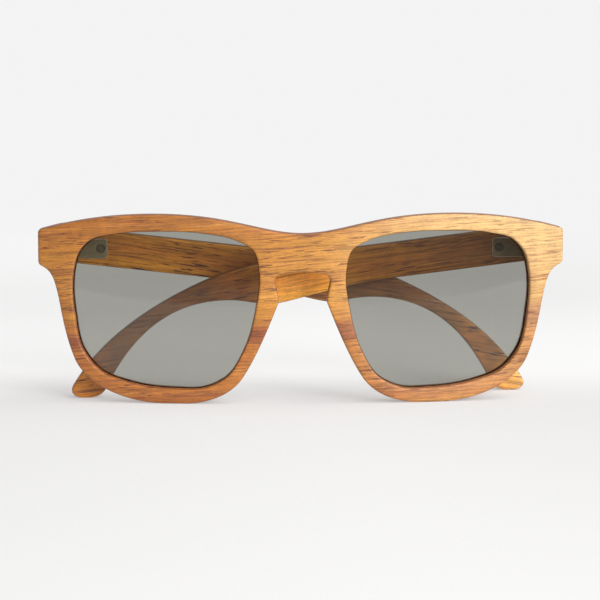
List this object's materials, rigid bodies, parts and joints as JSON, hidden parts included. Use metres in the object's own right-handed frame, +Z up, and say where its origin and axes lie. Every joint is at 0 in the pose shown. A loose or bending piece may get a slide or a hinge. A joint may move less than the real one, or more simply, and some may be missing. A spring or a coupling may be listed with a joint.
{
  "type": "wooden sunglasses",
  "caption": "Folded wooden sunglasses with a keyhole bridge, grey lenses in grooves, carved nose pads and temples on sprung hinges.",
  "frame": {"origin": "middle of the folded pair's footprint, on the surface it stands on", "axes": "+X to the wearer's left along the front, +Y from the front back to the folded temples, +Z up"},
  "size_m": [0.142, 0.0232, 0.0511],
  "materials": {
    "front_wood": "oiled wood with straight level grain",
    "temple_wood": "oiled wood with grain along the temple",
    "lens_tint": "clear grey tint, polished",
    "hinge_steel": "polished steel",
    "screw_steel": "dark steel",
    "spring_steel": "bright spring wire"
  },
  "bodies": {
    "front": {"front_frame": "front_wood", "lens_left": "lens_tint", "lens_right": "lens_tint", "front_leaf_left": "hinge_steel", "front_leaf_right": "hinge_steel", "leaf_screws_left": "screw_steel", "leaf_screws_right": "screw_steel"},
    "left_slider": {"slider_left": "hinge_steel", "hinge_screw_left": "screw_steel", "spring_left": "spring_steel", "spring_stop_left": "screw_steel"},
    "right_slider": {"slider_right": "hinge_steel", "hinge_screw_right": "screw_steel", "spring_right": "spring_steel", "spring_stop_right": "screw_steel"},
    "left_temple": {"temple_left": "temple_wood", "housing_left": "hinge_steel", "housing_screw_left": "screw_steel"},
    "right_temple": {"temple_right": "temple_wood", "housing_right": "hinge_steel", "housing_screw_right": "screw_steel"}
  },
  "joints": [
    {"name": "left_fold", "type": "hinge", "parent": "front", "child": "left_slider", "pos_m": [0.0657, 0.00222, 0.0406], "axis": [0, 0, -1], "range_deg": [0, 93.8]},
    {"name": "left_spring_slide", "type": "slide", "parent": "left_slider", "child": "left_temple", "axis": [-0.9995, -0.032, 0], "range_m": [0, 0.0015], "stiffness_N_per_m": 600, "springref_m": -0.002, "deforming": ["spring_left"]},
    {"name": "right_fold", "type": "hinge", "parent": "front", "child": "right_slider", "pos_m": [-0.0657, 0.00222, 0.0406], "axis": [0, 0, 1], "range_deg": [0, 90.2]},
    {"name": "right_spring_slide", "type": "slide", "parent": "right_slider", "child": "right_temple", "axis": [0.9995, 0.032, 0], "range_m": [0, 0.0015], "stiffness_N_per_m": 600, "springref_m": -0.002, "deforming": ["spring_right"]}
  ]
}
